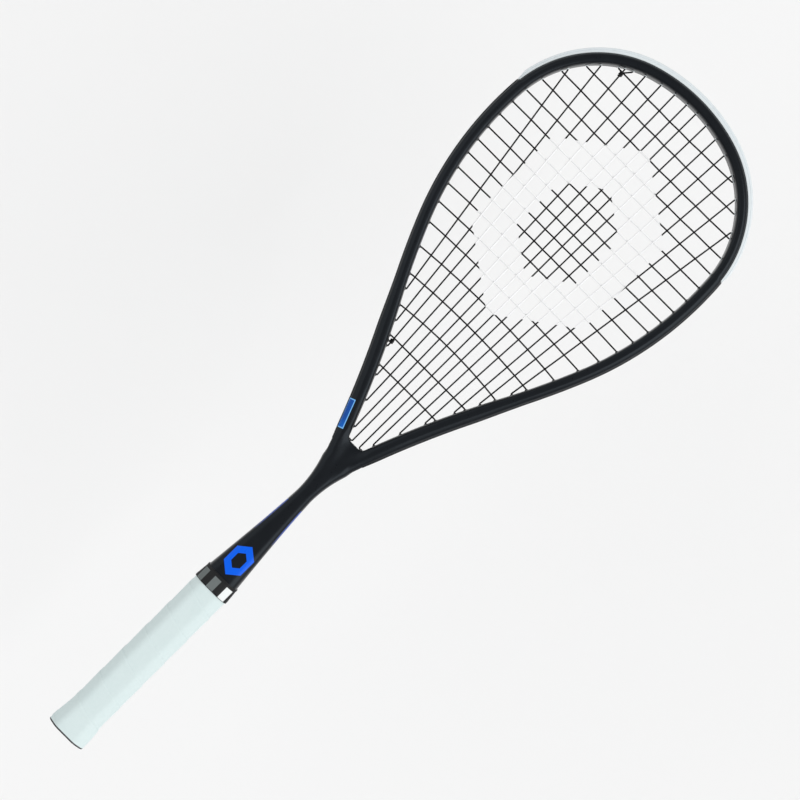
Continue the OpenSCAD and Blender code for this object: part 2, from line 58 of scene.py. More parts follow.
ARCS = ((134.0, 17.0), (86.0, 69.0), (263.0, 26.4), (659.0, 5.6), (-818.0, 8.4))
TIP_X = 672.5
OPENING_BOTTOM_X = 309.9
GUARD_END_X = 593.6
STRIP_END_X = 306.0
LEG_END_X = 291.0  # the legs run on into the shaft as far as this
GUARD_TUBE_WIDTH, SIDE_WIDTH, LEG_WIDTH = 8.55, 9.6, 11.3
TUBE_HALF_DEPTH = 9.5
GROOVE_DEPTH, GROOVE_HALF = 1.6, 3.4
STRIP_BASE, STRIP_RISE = 0.8, 0.65
FIT = 0.05
STRING_R = 0.65
BORE_R, BARREL_R = 0.75, 1.35
JOIN_X = 346.0  # the loft of the hoop takes over from the throat here
RING_SPACING = 1.5


def ease(t):
    u = min(1.0, max(0.0, t))
    return u * u * (3 - 2 * u)


def heading(degrees):
    return np.array([math.cos(math.radians(degrees)), math.sin(math.radians(degrees))])


def arc_starts():
    """Start angle, centre and start point of each arc, from the tip round the +Y side."""
    starts, angle, point = [], 0.0, np.array([TIP_X, 0.0])
    for radius, sweep in ARCS:
        starts.append((angle, point - radius * heading(angle), point))
        turned = angle + math.copysign(sweep, radius)
        point = point + radius * (heading(turned) - heading(angle))
        angle = turned
    return starts


STARTS = arc_starts()


def station(arc, turned):
    """A point on the inside edge and the angle of its outward normal."""
    radius = ARCS[arc][0]
    angle = STARTS[arc][0] + math.copysign(turned, radius)
    x, y = STARTS[arc][1] + radius * heading(angle)
    return x, y, angle


def station_at_x(x):
    arc = 0
    while arc < len(ARCS) - 1 and x < STARTS[arc + 1][2][0]:
        arc += 1
    centre, radius = STARTS[arc][1], ARCS[arc][0]
    angle = math.degrees(math.acos((x - centre[0]) / radius))
    return x, centre[1] + radius * math.sin(math.radians(angle)), angle


def station_at_y(y):
    arc = 0 if y < STARTS[1][2][1] else 1
    centre, radius = STARTS[arc][1], ARCS[arc][0]
    angle = math.degrees(math.asin((y - centre[1]) / radius))
    return centre[0] + radius * math.cos(math.radians(angle)), y, angle


def mirrored(s):
    return s[0], -s[1], -s[2]


def on_side(s, side):
    return s if side > 0 else mirrored(s)


def out(s, distance, z):
    """A point at a distance outwards of the inside edge, at height z."""
    x, y = np.array(s[:2]) + distance * heading(s[2])
    return np.array([x, y, z])


def half_hoop():
    """Stations from the tip round the +Y side to the throat, about one ring spacing apart."""
    found = []
    for arc, (radius, sweep) in enumerate(ARCS):
        steps = math.ceil(abs(radius) * math.radians(sweep) / RING_SPACING)
        found += [station(arc, sweep * k / steps) for k in range(steps)]
    k = steps
    while found[-1][0] > LEG_END_X:
        found.append(station(arc, sweep * k / steps))
        k += 1
    return found


def whole_hoop(keep):
    """The stations of both sides whose x is to be kept."""
    half = [s for s in half_hoop() if keep(s[0])]
    return [mirrored(s) for s in reversed(half[1:])] + half


def tube_width(s):
    at_guard = GUARD_TUBE_WIDTH + 0.5 * math.cos(math.radians(s[2])) ** 4
    at_side = SIDE_WIDTH + (LEG_WIDTH - SIDE_WIDTH) * ease((432 - s[0]) / 42)
    return at_side + (at_guard - at_side) * ease((s[0] - GUARD_END_X + 0.4) / 0.8)


def tube_depth(s):
    return TUBE_HALF_DEPTH - 1.7 * ease((338 - s[0]) / 46)


def groove_at(s):
    """Depth of the groove, which runs out just past the strips' ends."""
    return GROOVE_DEPTH * ease((s[0] - STRIP_END_X + 1.5) / 1.2)


def floor_at(s):
    return tube_width(s) - groove_at(s)


def lane_out(s):
    """How far out a string lies in the groove; it leaves a side strip's end at the same height."""
    past_strip = GUARD_END_X < s[0] < GUARD_END_X + 1
    floor_out = SIDE_WIDTH - GROOVE_DEPTH if past_strip else floor_at(s)
    return floor_out + STRIP_BASE + STRING_R + 2 * FIT


# ---------- meshes ----------

SPAN_STEPS = 4


def spline(points):
    """Points on a Catmull-Rom curve through the given ones, a few in each span."""
    p = np.array(points, float)
    p = np.vstack([2 * p[0] - p[1], p, 2 * p[-1] - p[-2]])
    found = []
    for i in range(1, len(p) - 2):
        for k in range(SPAN_STEPS):
            t = k / SPAN_STEPS
            found.append(0.5 * (2 * p[i] + (p[i + 1] - p[i - 1]) * t
                                + (2 * p[i - 1] - 5 * p[i] + 4 * p[i + 1] - p[i + 2]) * t * t
                                + (3 * p[i] - p[i - 1] - 3 * p[i + 1] + p[i + 2]) * t ** 3))
    return found + [p[-2]]


def flipped(points):
    """The points mirrored in their second coordinate."""
    return [(a, -b) for a, b in points]


def both_halves(half):
    """A closed section from its front half, which starts and ends on the middle plane."""
    return half + flipped(half[-2:0:-1])


def loft_data(rings, capped=True):
    """Vertices, faces and corner UVs of a skin over closed rings of equal length."""
    rings = np.array(rings, float)
    m, n = rings.shape[:2]
    faces, uvs = [], []
    along = np.concatenate([[0], np.cumsum(np.linalg.norm(np.diff(rings.mean(1), axis=0), axis=1))])
    for i in range(m - 1):
        for j in range(n):
            k = (j + 1) % n
            faces.append((i * n + j, i * n + k, (i + 1) * n + k, (i + 1) * n + j))
            uvs += [(along[i], j / n), (along[i], (j + 1) / n),
                    (along[i + 1], (j + 1) / n), (along[i + 1], j / n)]
    if capped:
        faces += [tuple(reversed(range(n))), tuple(range((m - 1) * n, m * n))]
        uvs += [(0, j / n) for j in range(n)] * 2
    return rings.reshape(-1, 3), faces, uvs


def joined(parts):
    """Several meshes' data as one."""
    verts, faces, uvs, count = [], [], [], 0
    for v, f, u in parts:
        verts.append(np.array(v))
        faces += [tuple(i + count for i in face) for face in f]
        uvs += u
        count += len(v)
    return np.vstack(verts), faces, uvs


def mesh_from(name, data):
    verts, faces, uvs = data
    mesh = bpy.data.meshes.new(name)
    mesh.from_pydata([tuple(v) for v in np.array(verts) * MM], [], faces)
    if uvs:
        layer = mesh.uv_layers.new(name="UVMap")
        layer.data.foreach_set("uv", np.array(uvs, np.float32).ravel() * 0.1)
    work = bmesh.new()
    work.from_mesh(mesh)
    bmesh.ops.recalc_face_normals(work, faces=work.faces)
    work.to_mesh(mesh)
    work.free()
    return mesh


def new_object(name, mesh, sharp=40):
    obj = bpy.data.objects.new(name, mesh)
    bpy.context.scene.collection.objects.link(obj)
    mesh.polygons.foreach_set("use_smooth", [True] * len(mesh.polygons))
    mesh.set_sharp_from_angle(angle=math.radians(sharp))
    return obj


def piece(name, data, material, nodes, sharp=40):
    """A visual piece that rides on the racket in place of its CAD nodes."""
    obj = new_object(name, mesh_from(name, data), sharp)
    obj.data.materials.append(material)
    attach(obj, "root")
    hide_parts(*nodes)
    return obj


# ---------- frame ----------

def tube_section(s, shrink=0.0):
    """The tube's section as (distance outwards, z), shrunk towards its middle by a length."""
    w, h, g, edge = tube_width(s), tube_depth(s), groove_at(s), GROOVE_HALF
    lip = [(w - g, 0), (w - g, edge - 0.5), (w - 0.9 * g, edge - 0.15), (w - 0.15 * g, edge),
           (w - 0.02, edge + 0.2)]
    skin = spline([(w, edge + 0.5), (w, 0.56 * h), (0.86 * w, 0.84 * h), (0.63 * w, 0.985 * h),
                   (0.5 * w, h), (0.34 * w, 0.995 * h), (0.18 * w, 0.96 * h), (0.08 * w, 0.84 * h),
                   (0.015 * w, 0.6 * h), (0, 0.31 * h), (0, 0)])
    section = both_halves([(min(distance, w), z) for distance, z in lip + skin])
    return [(w / 2 + (distance - w / 2) * (1 - shrink / w), z * (1 - shrink / h))
            for distance, z in section]


def tube_ring(s, shrink=0.0):
    return [out(s, distance, z) for distance, z in tube_section(s, shrink)]


SHAFT_ROOT_X, SHAFT_ROOT_HALF_WIDTH = 169.0, 14.15
NECK_X, NECK_HALF_WIDTH = 256.0, 6.95
FLARE_END_X = 288.0  # past this the shaft widens at one slope
SHAFT_END_X = 318.0
SHAFT_HALF_DEPTH = 8.8


def throat_flare(x):
    return 0.0052 * (x - NECK_X) ** 2


def shaft_half_width(x):
    if x < NECK_X:
        towards_root = ((NECK_X - x) / (NECK_X - SHAFT_ROOT_X)) ** 1.25
        return NECK_HALF_WIDTH + (SHAFT_ROOT_HALF_WIDTH - NECK_HALF_WIDTH) * towards_root
    if x < FLARE_END_X:
        return NECK_HALF_WIDTH + throat_flare(x)
    return NECK_HALF_WIDTH + throat_flare(FLARE_END_X) + 0.17 * (x - FLARE_END_X)


def shaft_depth(x):
    return SHAFT_HALF_DEPTH + 3.4 * ease((200 - x) / 36) - 0.8 * ease((x - 262) / 50)


def shaft_ring(x):
    quarter = [(1, 0.32), (0.9, 0.72), (0.7, 0.93), (0.42, 1)]
    front = quarter + [(-a, b) for a, b in reversed(quarter)]
    loop = front + [(-a, -b) for a, b in front]
    lead = 3  # points repeated at both ends, so that the curve closes smoothly
    curve = spline(loop[-lead:] + loop + loop[:lead])
    smooth = curve[lead * SPAN_STEPS:(lead + len(loop)) * SPAN_STEPS]
    return [(x, -a * shaft_half_width(x), b * shaft_depth(x)) for a, b in smooth]


def opening_prism():
    """The round-bottomed space between the legs, deep enough to cut through them."""
    radius, corner_y, half_depth = 5, 3.6, 14
    side = [(OPENING_BOTTOM_X + radius * (1 - math.cos(t)), corner_y + radius * math.sin(t))
            for t in np.linspace(0, math.radians(70), 14)] + [(331, 14.9)]
    outline = flipped(reversed(side)) + side
    return loft_data([[(x, y, z) for x, y in outline] for z in (-half_depth, half_depth)])


def applied(obj):
    """The object's mesh with its modifiers, and the object removed."""
    bpy.context.view_layer.update()
    mesh = bpy.data.meshes.new_from_object(obj.evaluated_get(bpy.context.evaluated_depsgraph_get()))
    bpy.data.objects.remove(obj)
    return mesh


def mesh_data(mesh):
    """A mesh's vertices in millimetres and its faces, with empty UVs."""
    co = np.zeros(len(mesh.vertices) * 3)
    mesh.vertices.foreach_get("co", co)
    faces = [tuple(p.vertices) for p in mesh.polygons]
    return co.reshape(-1, 3) / MM, faces, [(0, 0)] * len(mesh.loops)


def relax_heights(verts, faces, weight, rounds):
    """Spreads the heights of neighbouring vertices into each other where weight is above nought."""
    quads = np.array([f for f in faces if len(f) == 4])
    a = np.concatenate([quads[:, k] for k in range(4)])
    b = np.concatenate([quads[:, (k + 1) % 4] for k in range(4)])
    a, b = np.concatenate([a, b]), np.concatenate([b, a])
    count = np.maximum(1, np.bincount(a, minlength=len(verts)))
    z = verts[:, 2].copy()
    for _ in range(rounds):
        mean = np.bincount(a, weights=z[b], minlength=len(verts)) / count
        z += weight * (mean - z)
    verts[:, 2] = z
    return verts


def leg_ring(s):
    """A ring of the throat's legs, which slip inside the hoop's loft where they meet it."""
    return tube_ring(s, 0.05 * ease((s[0] - JOIN_X + 2) / 2))


def throat_data():
    """Both legs and the shaft as one skin, with a soft valley where the legs part."""
    leg = [s for s in half_hoop() if s[0] < JOIN_X + 4]
    left = loft_data([leg_ring(s) for s in leg])
    right = loft_data([leg_ring(mirrored(s)) for s in reversed(leg)])
    shaft = loft_data([shaft_ring(x) for x in np.arange(160, SHAFT_END_X + 0.1, 2.0)])
    body = new_object("throat_body", mesh_from("throat_body", joined([left, right, shaft])))
    cutter = new_object("throat_cutter", mesh_from("throat_cutter", opening_prism()))
    for kind in ("skin", "cut", "blend"):
        m = body.modifiers.new(kind, "BOOLEAN" if kind == "cut" else "REMESH")
        if kind == "cut":
            m.operation, m.object, m.solver = "DIFFERENCE", cutter, "EXACT"
        else:
            m.mode, m.voxel_size = "VOXEL", 0.5 * MM
    smooth = body.modifiers.new("smooth", "SMOOTH")
    smooth.factor, smooth.iterations = 0.5, 5
    mesh = applied(body)
    bpy.data.objects.remove(cutter)
    verts, faces, uvs = mesh_data(mesh)
    x, y, z = verts.T
    soft_reach = np.clip(5.0 + 0.16 * (x - 268), 5.0, 14.0)
    weight = 0.9 * np.clip((soft_reach - np.abs(y)) / 3.0, 0, 1) * np.clip(np.abs(z) - 5.0, 0, 1)
    weight *= np.clip((x - 268) / 12, 0, 1) * np.clip((326 - x) / 8, 0, 1)
    valley_depth, valley_reach = 1.2, 3 + 0.32 * np.clip(x - 282, 0, 30)
    valley = np.clip((x - 280) / 20, 0, 1) * np.clip(1 - (y / valley_reach) ** 2, 0, 1) ** 2
    verts[:, 2] -= valley_depth * valley * np.sign(z) * np.clip((np.abs(z) - 4.0) / 2.0, 0, 1)
    return relax_heights(verts, faces, weight, 50), faces, uvs


# ---------- shader helpers ----------

class Shader:
    """A material with short calls for its nodes. Positions are read in millimetres."""

    def __init__(self, name, color, roughness, **sockets):
        self.material = bpy.data.materials.new(name)
        self.material.use_nodes = True
        self.tree = self.material.node_tree
        self.bsdf = self.tree.nodes["Principled BSDF"]
        self.bsdf.inputs["Base Color"].default_value = (*color, 1)
        self.bsdf.inputs["Roughness"].default_value = roughness
        for key, value in sockets.items():
            self.bsdf.inputs[key.replace("_", " ")].default_value = value
        self.material.diffuse_color = (*color, 1)
        place = self.node("ShaderNodeTexCoord").outputs["Object"]
        self.place = self.vector("SCALE", place, scale=1 / MM)
        self.x, self.y, self.z = self.node("ShaderNodeSeparateXYZ", self.place).outputs
        self.height = None

    def node(self, kind, *values, **props):
        n = self.tree.nodes.new(kind)
        for key, value in props.items():
            setattr(n, key, value)
        for i, value in enumerate(values):
            self.put(value, n.inputs[i])
        return n

    def put(self, value, socket):
        if isinstance(value, bpy.types.NodeSocket):
            self.tree.links.new(value, socket)
        elif value is not None:
            socket.default_value = value

    def math(self, operation, *values):
        return self.node("ShaderNodeMath", *values, operation=operation).outputs[0]

    def vector(self, operation, *values, scale=None):
        n = self.node("ShaderNodeVectorMath", *values, operation=operation)
        if scale is not None:
            n.inputs["Scale"].default_value = scale
        return n.outputs[0]

    def ramp(self, value, low, high):
        """0 below low and 1 above high, smooth in between; low may be the greater."""
        flip = low > high
        n = self.node("ShaderNodeMapRange", value, min(low, high), max(low, high),
                      1.0 if flip else 0.0, 0.0 if flip else 1.0, interpolation_type="SMOOTHSTEP")
        return n.outputs[0]

    def all_of(self, *masks):
        found = masks[0]
        for m in masks[1:]:
            found = self.math("MULTIPLY", found, m)
        return found

    def any_of(self, *masks):
        found = masks[0]
        for m in masks[1:]:
            found = self.math("MAXIMUM", found, m)
        return found

    def between(self, value, low, high, soft=0.15):
        above = self.ramp(value, low - soft, low + soft)
        return self.all_of(above, self.ramp(value, high + soft, high - soft))

    def shifted(self, value, by):
        return self.math("ADD", value, -by)

    def noise(self, scale, detail=3.0, stretch=(1, 1, 1), rough=0.5):
        """Noise of about one feature per millimetre at scale 1."""
        n = self.node("ShaderNodeTexNoise")
        self.put(self.vector("MULTIPLY", self.place, stretch), n.inputs["Vector"])
        for key, value in (("Scale", scale), ("Detail", detail), ("Roughness", rough)):
            n.inputs[key].default_value = value
        return n.outputs[0]

    def cells(self, scale, feature="F1"):
        n = self.node("ShaderNodeTexVoronoi", feature=feature)
        self.put(self.place, n.inputs["Vector"])
        n.inputs["Scale"].default_value = scale
        return n.outputs["Distance"]

    def mix(self, factor, a, b):
        n = self.node("ShaderNodeMix", data_type="RGBA")
        for key, value in ((0, factor), (6, a), (7, b)):
            self.put((*value, 1) if isinstance(value, tuple) else value, n.inputs[key])
        return n.outputs[2]

    def color(self, value):
        self.put(value, self.bsdf.inputs["Base Color"])

    def roughness(self, value):
        self.put(value, self.bsdf.inputs["Roughness"])

    def spread(self, value, low, high):
        """Maps 0..1 to low..high."""
        return self.node("ShaderNodeMapRange", value, 0.0, 1.0, low, high).outputs[0]

    def raise_by(self, height, depth_mm):
        """Adds relief that is depth_mm deep between 0 and 1 of height."""
        part = self.math("MULTIPLY", height, depth_mm * MM)
        self.height = part if self.height is None else self.math("ADD", self.height, part)

    def finish(self):
        if self.height is not None:
            bump = self.node("ShaderNodeBump")
            bump.inputs["Strength"].default_value = 1.0
            bump.inputs["Distance"].default_value = 1.0
            self.put(self.height, bump.inputs["Height"])
            self.put(bump.outputs[0], self.bsdf.inputs["Normal"])
        return self.material


BLUE = (0.0, 0.105, 0.76)
PALE_BLUE = (0.18, 0.47, 0.86)
DEEP_BLUE = (0.003, 0.05, 0.36)


def hexagon(sh, x, y, squash):
    """Distance from the middle in nested hexagons that are squashed across; it is |x| at their points."""
    ax = sh.math("ABSOLUTE", x)
    ay = sh.math("MULTIPLY", sh.math("ABSOLUTE", y), 1 / squash)
    slant = sh.math("ADD", ax, sh.math("MULTIPLY", ay, 1 / math.sqrt(3)))
    return sh.math("MAXIMUM", slant, sh.math("MULTIPLY", ay, 2 / math.sqrt(3)))


def frame_material():
    sh = Shader("lacquered_frame", (0.005, 0.0055, 0.007), 0.3, Specular_IOR_Level=0.2,
                Specular_Tint=(0.78, 0.9, 1, 1))
    mottle = sh.noise(0.09, 4)
    cloud = sh.mix(mottle, (0.003, 0.0035, 0.0048), (0.0065, 0.0072, 0.009))
    fleck = sh.ramp(sh.cells(2.4), 0.12, 0.04)
    paint = sh.mix(sh.math("MULTIPLY", fleck, 0.2), cloud, (0.02, 0.023, 0.028))

    # a hexagonal ring on both faces of the shaft
    reach = hexagon(sh, sh.shifted(sh.x, 186.5), sh.y, 0.72)
    mark = sh.all_of(sh.between(reach, 7.4, 14.3), sh.ramp(sh.math("ABSOLUTE", sh.z), 3.0, 3.6))
    # plain bars on the side walls of the shaft
    low = sh.ramp(sh.math("ABSOLUTE", sh.z), 6.9, 6.2)
    edge_bar = sh.all_of(low, sh.between(sh.x, 212, 246), sh.ramp(sh.x, 205, 232))
    # the label on the outer half of the +Y leg, in coordinates along and across it
    cos, sin = heading(21.0)
    lx, ly = sh.shifted(sh.x, 323.0), sh.shifted(sh.y, 21.65)
    along = sh.math("ADD", sh.math("MULTIPLY", lx, cos), sh.math("MULTIPLY", ly, sin))
    across = sh.math("SUBTRACT", sh.math("MULTIPLY", ly, cos), sh.math("MULTIPLY", lx, sin))
    front = sh.ramp(sh.z, 1.5, 2.5)
    label = sh.all_of(sh.between(along, -12, 12), sh.ramp(across, -2.6, -2.3), front)
    field = sh.all_of(sh.between(along, -11.2, 11.2), sh.between(across, -1.75, 2.0), front)
    # a plain blue bar inside the hoop on +Y where the wall faces the strings, and pale dashes of painted
    # highlight on the -Y inner wall, standing for the gleam between the barrels
    thin = sh.ramp(sh.math("ABSOLUTE", sh.z), 3.7, 3.4)
    inner_bar = sh.all_of(thin, sh.between(sh.x, 422, 466), sh.ramp(sh.y, 40, 50))
    dashes = sh.ramp(sh.math("FRACT", sh.math("DIVIDE", sh.shifted(sh.x, 452), 11.5)), 0.62, 0.58)
    painted_gleam_dashes = sh.all_of(thin, sh.between(sh.x, 452, 498), sh.ramp(sh.y, -50, -60), dashes)

    paint = sh.mix(sh.all_of(edge_bar, sh.spread(sh.noise(0.2), 0.7, 1.0)), paint, DEEP_BLUE)
    paint = sh.mix(sh.math("MULTIPLY", inner_bar, 0.6), paint, DEEP_BLUE)
    # painted highlight: pale dashes for the gleam along the -Y inner wall
    paint = sh.mix(painted_gleam_dashes, paint, (0.55, 0.6, 0.62))
    paint = sh.mix(mark, paint, BLUE)
    paint = sh.mix(label, paint, PALE_BLUE)
    field_blue = sh.mix(sh.ramp(along, -2, -11), (0.0, 0.066, 0.34), (0.0, 0.11, 0.5))
    sh.color(sh.mix(field, paint, field_blue))

    scuff = sh.ramp(sh.noise(0.5, 6, (0.12, 1, 1), 0.65), 0.62, 0.8)
    gloss = sh.spread(sh.noise(0.25, 4), 0.24, 0.34)
    sh.roughness(sh.math("ADD", gloss, sh.math("MULTIPLY", scuff, 0.12)))
    sh.raise_by(sh.noise(0.55, 2), 0.012)
    sh.raise_by(sh.any_of(mark, label), 0.02)
    return sh.finish()


def guard_material():
    sh = Shader("white_guard", (0.8, 0.84, 0.86), 0.42)
    grime = sh.ramp(sh.noise(0.16, 5, rough=0.6), 0.5, 0.78)
    scrape = sh.ramp(sh.noise(0.9, 5, (0.25, 0.25, 1.4), 0.7), 0.64, 0.74)
    tone = sh.mix(sh.math("MULTIPLY", grime, 0.35), (0.68, 0.73, 0.75), (0.52, 0.57, 0.59))
    sh.color(sh.mix(sh.math("MULTIPLY", scrape, 0.3), tone, (0.42, 0.44, 0.46)))
    satin = sh.spread(sh.noise(0.7, 4), 0.34, 0.5)
    sh.roughness(sh.math("ADD", satin, sh.math("MULTIPLY", scrape, 0.2)))
    sh.raise_by(sh.noise(3.2, 4), 0.015)
    sh.raise_by(sh.noise(0.25, 3), 0.04)
    return sh.finish()


def nylon_material():
    sh = Shader("black_nylon", (0.018, 0.019, 0.021), 0.48)
    sh.color(sh.mix(sh.noise(0.3, 4), (0.012, 0.0125, 0.014), (0.028, 0.029, 0.032)))
    sh.roughness(sh.spread(sh.noise(0.8, 4), 0.38, 0.58))
    sh.raise_by(sh.noise(3.0, 4), 0.02)
    return sh.finish()


def string_material():
    """Black coated string with a plain hexagonal ring of white stencil ink across the bed."""
    sh = Shader("strung_nylon", (0.006, 0.006, 0.007), 0.4, Specular_IOR_Level=0.2)
    reach = hexagon(sh, sh.shifted(sh.x, 539), sh.y, 0.8)
    ring = sh.between(reach, 46, 87, 0.35)
    inside = sh.ramp(sh.math("ABSOLUTE", sh.y), 72, 70)
    thin = sh.ramp(sh.noise(1.1, 4), 0.26, 0.36)
    ink = sh.all_of(ring, inside, sh.spread(thin, 0.75, 1.0))
    black = sh.mix(sh.noise(1.2, 4), (0.003, 0.003, 0.0035), (0.008, 0.008, 0.009))
    white = sh.mix(sh.noise(0.6, 3), (0.78, 0.79, 0.8), (0.9, 0.9, 0.9))
    sh.color(sh.mix(ink, black, white))
    sh.roughness(sh.math("ADD", sh.spread(sh.noise(1.5, 3), 0.28, 0.42), sh.math("MULTIPLY", ink, 0.22)))
    uv = sh.node("ShaderNodeUVMap", uv_map="UVMap").outputs[0]
    u, v, _ = sh.node("ShaderNodeSeparateXYZ", uv).outputs
    # four strands wind round the core, with a crest every 1.4 mm; u runs along the string in cm,
    # and v goes from 0 to 0.1 round it
    turn = 20 * math.pi
    wind = sh.math("ADD", sh.math("MULTIPLY", u, turn / 1.4), sh.math("MULTIPLY", v, turn * 4))
    sh.raise_by(sh.math("SINE", wind), 0.012)
    sh.raise_by(ink, 0.02)
    return sh.finish()


GRIP_PITCH = 24.0


def grip_material():
    sh = Shader("white_grip", (0.62, 0.73, 0.73), 0.62, Specular_IOR_Level=0.35)
    angle = sh.math("DIVIDE", sh.math("ARCTAN2", sh.y, sh.z), 2 * math.pi)
    turns = sh.math("SUBTRACT", sh.math("DIVIDE", sh.x, GRIP_PITCH), angle)
    phase = sh.math("FRACT", turns)
    seam = sh.any_of(sh.ramp(phase, 0.035, 0.0), sh.ramp(phase, 0.975, 1.0))
    soil = sh.ramp(sh.noise(0.06, 5, rough=0.6), 0.48, 0.75)
    tone = sh.mix(sh.noise(0.35, 4), (0.6, 0.7, 0.7), (0.64, 0.735, 0.735))
    tone = sh.mix(sh.math("MULTIPLY", soil, 0.3), tone, (0.57, 0.68, 0.68))
    sh.color(sh.mix(sh.math("MULTIPLY", seam, 0.15), tone, (0.44, 0.53, 0.53)))
    sh.roughness(sh.spread(sh.noise(0.5, 4), 0.52, 0.72))
    grain = sh.cells(2.2, feature="SMOOTH_F1")
    sh.raise_by(grain, 0.05)
    sh.raise_by(sh.noise(4.5, 3), 0.018)
    sh.raise_by(sh.noise(0.18, 3), 0.18)
    return sh.finish()


def collar_material():
    sh = Shader("rubber_collar", (0.006, 0.0065, 0.007), 0.45, Specular_IOR_Level=0.25)
    blocks = [sh.between(sh.y, low, high, 0.2)
              for low, high in ((10.0, 14.2), (-2.0, 4.4), (-13.4, -7.8))]
    face = sh.ramp(sh.math("ABSOLUTE", sh.z), 6.5, 7.0)
    band = sh.all_of(sh.between(sh.x, 155.9, 166.2, 0.2), face)
    worn = sh.spread(sh.noise(0.3, 3), 0.85, 1.0)
    grey = sh.all_of(sh.any_of(*blocks[:2]), band, worn)
    white = sh.all_of(blocks[2], band)
    rubber = sh.mix(sh.noise(0.4, 4), (0.004, 0.0045, 0.005), (0.009, 0.0095, 0.0105))
    sh.color(sh.mix(white, sh.mix(grey, rubber, (0.14, 0.16, 0.16)), (0.75, 0.78, 0.78)))
    sh.roughness(sh.spread(sh.noise(0.9, 4), 0.42, 0.6))
    sh.raise_by(sh.noise(2.5, 3), 0.02)
    sh.raise_by(sh.any_of(grey, white), 0.02)
    return sh.finish()


def cap_material():
    sh = Shader("cap_plastic", (0.02, 0.02, 0.022), 0.42)
    sh.color(sh.mix(sh.noise(0.3, 4), (0.014, 0.014, 0.016), (0.03, 0.03, 0.033)))
    sh.roughness(sh.spread(sh.noise(0.8, 4), 0.34, 0.55))
    sh.raise_by(sh.cells(1.6), 0.03)
    return sh.finish()


def foam_material():
    sh = Shader("handle_foam", (0.05, 0.05, 0.055), 0.8)
    sh.color(sh.mix(sh.noise(0.5, 5), (0.035, 0.035, 0.04), (0.07, 0.07, 0.075)))
    sh.raise_by(sh.cells(1.2), 0.12)
    return sh.finish()


def steel_material():
    sh = Shader("staple_steel", (0.62, 0.63, 0.65), 0.3, Metallic=1.0)
    sh.roughness(sh.spread(sh.noise(1.5, 4, (1, 0.2, 1)), 0.22, 0.4))
    sh.raise_by(sh.noise(3.0, 3, (1, 0.2, 1)), 0.01)
    return sh.finish()


# ---------- guard, strips and their barrels ----------

# where each main passes the frame: y at the tip and x at the throat, from the middle outwards
MAINS = ((5, 310), (16.9, 319.8), (29.5, 340.2), (42.9, 359.4), (57.8, 380.8), (72.8, 399.1),
         (88.5, 421.5))
# where each cross passes the frame, from the tip, and how far its middle bows
CROSSES = ((655.9, -1.1), (639.5, -0.8), (623.4, -0.9), (608.3, -1.2), (594, -0.2), (580.3, -0.3),
           (566.6, 0), (553.5, 0), (541.2, -0.4), (528.8, 0), (515.4, 1), (501.3, 1.8), (486.5, 1.9),
           (470.4, 2), (452.2, 3.2), (432.2, 2.7), (409.9, 2.8), (388.4, 0.1), (366.6, 0.2))
THROAT_TIE_X, TIP_TIE_Y = 384.4, 52
MAIN_LANE, CROSS_LANE, TAIL_LANE = 0.7, -0.7, 2.05
BEND_IN = 1.0
MIDDLE_INSET, MIDDLE_BEND_IN = 1.3, 2.15  # the middle mains pass longer barrels at the throat


def tip_holes(side):
    return [(on_side(station_at_y(y), side), MAIN_LANE, 0) for y, _ in MAINS]


def throat_holes(side):
    return [(on_side(station_at_x(x), side), MAIN_LANE, 0 if k else MIDDLE_INSET)
            for k, (_, x) in enumerate(MAINS)]


def cross_holes(side):
    return [(on_side(station_at_x(x), side), CROSS_LANE, 0) for x, _ in CROSSES]


THROAT_TIE = (station_at_x(THROAT_TIE_X), TAIL_LANE, 0)
TIP_TIE = (station_at_y(TIP_TIE_Y), CROSS_LANE, 0)


def all_holes(side):
    ties = [THROAT_TIE, TIP_TIE] if side > 0 else []
    return tip_holes(side) + throat_holes(side) + cross_holes(side) + ties


def barrel_data(hole):
    """A grommet barrel: a rounded mouth inside the hoop and a raised ring in the groove."""
    s, z, inset = hole
    end = floor_at(s) + STRIP_BASE
    mouth = [(0.9, BORE_R), (-0.2, BORE_R), (-0.42, 0.82), (-0.5, 1.0), (-0.42, 1.24),
             (-0.2, BARREL_R)]
    ring = [(0, BARREL_R), (0.1, 1.3), (0.16, 1.15), (0.1, 0.9), (-0.3, BORE_R)]
    profile = [(d - inset, r) for d, r in mouth] + [(end + d, r) for d, r in ring]
    axis = np.array([*heading(s[2]), 0.0])
    side = np.array([-axis[1], axis[0], 0.0])
    start = out(s, 0, z)
    rings = [[start + axis * d + r * (math.cos(a) * side + math.sin(a) * np.array([0, 0, 1.0]))
              for a in np.linspace(0, 2 * math.pi, 21)[:-1]] for d, r in profile]
    return loft_data(rings, capped=False)


def swept(stations, section):
    """A skin whose section at each station is (distance outwards, z)."""
    return loft_data([[out(s, distance, z) for distance, z in section(s)] for s in stations])


def closed_band(inner, outer):
    """A channel's closed section from the front halves of its frame side and its outer side.

    The first runs from the middle to the edge, and the second from the edge to the middle."""
    return inner[::-1] + flipped(inner) + flipped(outer) + outer[::-1]


def guard_rise(s):
    """How far the guard stands out: most at the tip, least at its two ends."""
    return 3.4 + 1.1 * math.cos(math.radians(s[2])) ** 2 - 1.6 * ease((602 - s[0]) / 8)


def guard_section(s):
    w, f, r = tube_width(s) + FIT / 2, floor_at(s) + FIT, guard_rise(s)
    split = 0.52 * r
    inner = [(f, 0.6), (f, 3.25), (w, 3.35), (w, 4.9), (w, 5.8)]
    outer = [(w + 0.15, 6.0), (w + split - 0.35, 6.0), (w + split - 0.1, 5.85), (w + split, 5.45),
             (w + split + 0.12, 5.4), (w + split + 0.3, 5.65), (w + r - 0.75, 5.5), (w + r - 0.25, 5.1),
             (w + r, 4.5), (w + r, 3.7), (w + r - 0.15, 3.2), (w + r - 0.5, 2.9), (f + 1.2, 2.8),
             (f + 0.9, 2.6), (f + STRIP_BASE, 2.2), (f + STRIP_BASE, 0.6)]
    return closed_band(inner, outer)


